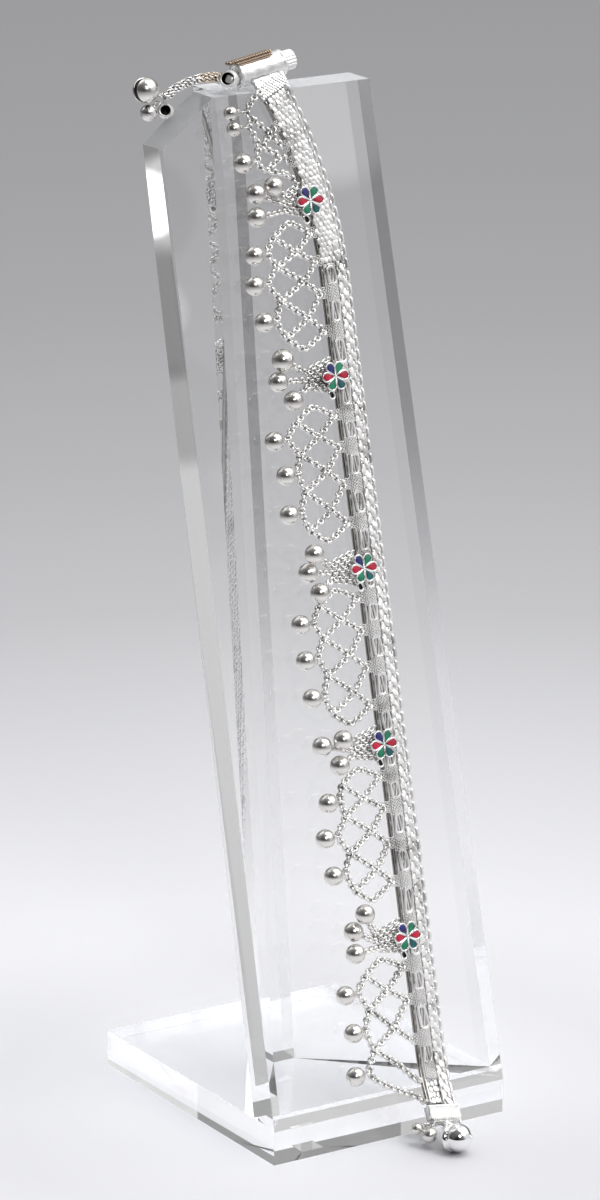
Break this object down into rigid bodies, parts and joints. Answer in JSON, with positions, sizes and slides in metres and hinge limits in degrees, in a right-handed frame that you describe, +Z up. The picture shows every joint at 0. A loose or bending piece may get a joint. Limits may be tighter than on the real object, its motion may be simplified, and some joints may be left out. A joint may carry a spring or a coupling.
{
  "type": "anklet on a display stand",
  "caption": "Open silver anklet of woven chain with a bell-tipped net, enamel flower motifs and a screw clasp, laid down the front of a clear leaning display stand.",
  "frame": {"origin": "middle of the object's box at the level that the stand rests on", "axes": "+X to the right across the stand, +Y to its back, +Z up"},
  "size_m": [0.065, 0.0974, 0.2536],
  "materials": {
    "clear_acrylic": "polished clear acrylic sheet",
    "chain_silver": "bright silver chain",
    "polished_silver": "polished silver",
    "clasp_silver": "white silver with fine scratches",
    "enamel_red": "glossy enamel",
    "enamel_green": "glossy enamel",
    "enamel_navy": "glossy enamel",
    "enamel_teal": "glossy enamel"
  },
  "bodies": {
    "body": {"stand_base": "clear_acrylic", "stand_panel": "clear_acrylic", "stand_leg": "clear_acrylic", "band_weave": "chain_silver", "edge_wire": "chain_silver", "edge_chain": "chain_silver", "lace_1": "chain_silver", "lace_2": "chain_silver", "lace_3": "chain_silver", "lace_4": "chain_silver", "lace_5": "chain_silver", "lace_6": "chain_silver", "bell_1": "polished_silver", "bell_2": "polished_silver", "bell_3": "polished_silver", "bell_4": "polished_silver", "bell_5": "polished_silver", "bell_6": "polished_silver", "bell_7": "polished_silver", "bell_8": "polished_silver", "bell_9": "polished_silver", "bell_10": "polished_silver", "bell_11": "polished_silver", "bell_12": "polished_silver", "bell_13": "polished_silver", "bell_14": "polished_silver", "bell_15": "polished_silver", "bell_16": "polished_silver", "bell_17": "polished_silver", "bell_18": "polished_silver", "bell_cluster_1": "polished_silver", "bell_cluster_2": "polished_silver", "bell_cluster_3": "polished_silver", "bell_cluster_4": "polished_silver", "bell_cluster_5": "polished_silver", "mesh_fan_1": "chain_silver", "mesh_fan_2": "chain_silver", "mesh_fan_3": "chain_silver", "mesh_fan_4": "chain_silver", "mesh_fan_5": "chain_silver", "flower_setting_1": "clasp_silver", "flower_setting_2": "clasp_silver", "flower_setting_3": "clasp_silver", "flower_setting_4": "clasp_silver", "flower_setting_5": "clasp_silver", "enamel_red": "enamel_red", "enamel_green": "enamel_green", "enamel_navy": "enamel_navy", "enamel_teal": "enamel_teal", "clasp_barrel": "clasp_silver", "clasp_bell": "polished_silver", "tail_chain": "chain_silver", "tail_slit_bell": "polished_silver", "tail_small_bell": "polished_silver", "tail_open_bell": "polished_silver", "end_cap": "clasp_silver", "end_dome": "polished_silver", "end_bells": "polished_silver"},
    "screw": {"clasp_screw": "clasp_silver"}
  },
  "joints": [
    {"name": "screw_turn", "type": "hinge", "parent": "body", "child": "screw", "pos_m": [0.0008, 0.03065, 0.2492], "axis": [0.9863, 0, 0.165], "continuous": true}
  ]
}
